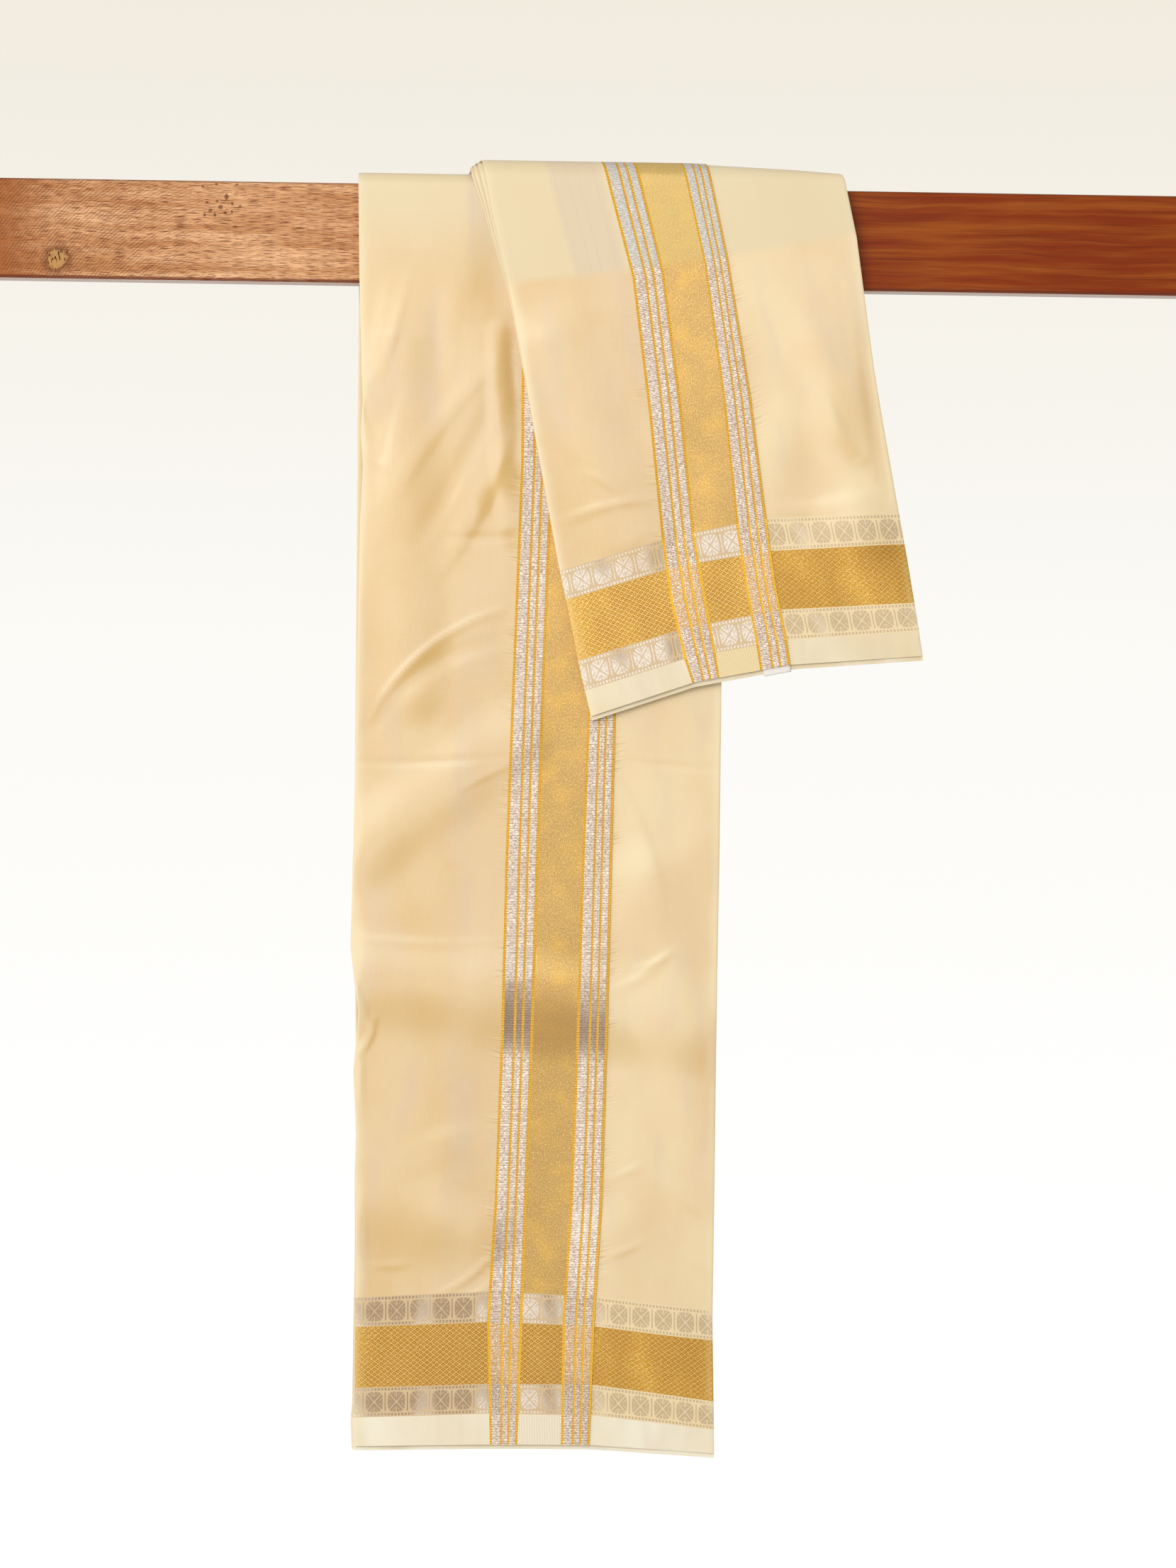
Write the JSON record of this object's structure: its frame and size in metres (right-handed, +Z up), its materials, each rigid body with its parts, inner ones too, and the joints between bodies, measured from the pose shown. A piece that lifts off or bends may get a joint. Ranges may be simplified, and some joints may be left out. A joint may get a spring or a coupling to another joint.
{
  "type": "folded dhoti cloth on a wooden bar",
  "caption": "Cream silk dhoti cloth with silver and gold woven borders, folded lengthwise and hung over a wooden bar, a long fall and a short fall in front.",
  "frame": {"origin": "middle of the wooden bar's length and section, where the bar is held", "axes": "+X along the bar to the right as seen from the front, +Y to the back, +Z up; the showing falls face -Y"},
  "size_m": [1.1, 0.062, 1.1318],
  "materials": {
    "silk": "cream shot silk with a soft sheen",
    "silver_zari": "ribbed metallic silver thread",
    "gold_zari": "fine metallic gold thread",
    "wood": "reddish brown, lightly varnished, with open grain",
    "label": "plain woven tape"
  },
  "bodies": {
    "root": {"wooden_bar": "wood", "long_front_layers": "silk", "long_top_layers": "silk", "long_back_layers": "silk", "long_face_hem": "silk", "long_face_lower_silver": "silver_zari", "long_face_gold": "gold_zari", "long_face_upper_silver": "silver_zari", "long_face_body": "silk", "long_border_silver_left": "silver_zari", "long_border_gold": "gold_zari", "long_border_silver_right": "silver_zari", "long_side_hem": "silk", "long_side_lower_silver": "silver_zari", "long_side_gold": "gold_zari", "long_side_upper_silver": "silver_zari", "long_side_body": "silk", "short_front_layers": "silk", "short_top_layers": "silk", "short_back_layers": "silk", "short_face_hem": "silk", "short_face_lower_silver": "silver_zari", "short_face_gold": "gold_zari", "short_face_upper_silver": "silver_zari", "short_face_body": "silk", "short_border_silver_left": "silver_zari", "short_border_gold": "gold_zari", "short_border_silver_right": "silver_zari", "short_side_hem": "silk", "short_side_lower_silver": "silver_zari", "short_side_gold": "gold_zari", "short_side_upper_silver": "silver_zari", "short_side_body": "silk", "care_label": "label"}
  },
  "joints": []
}
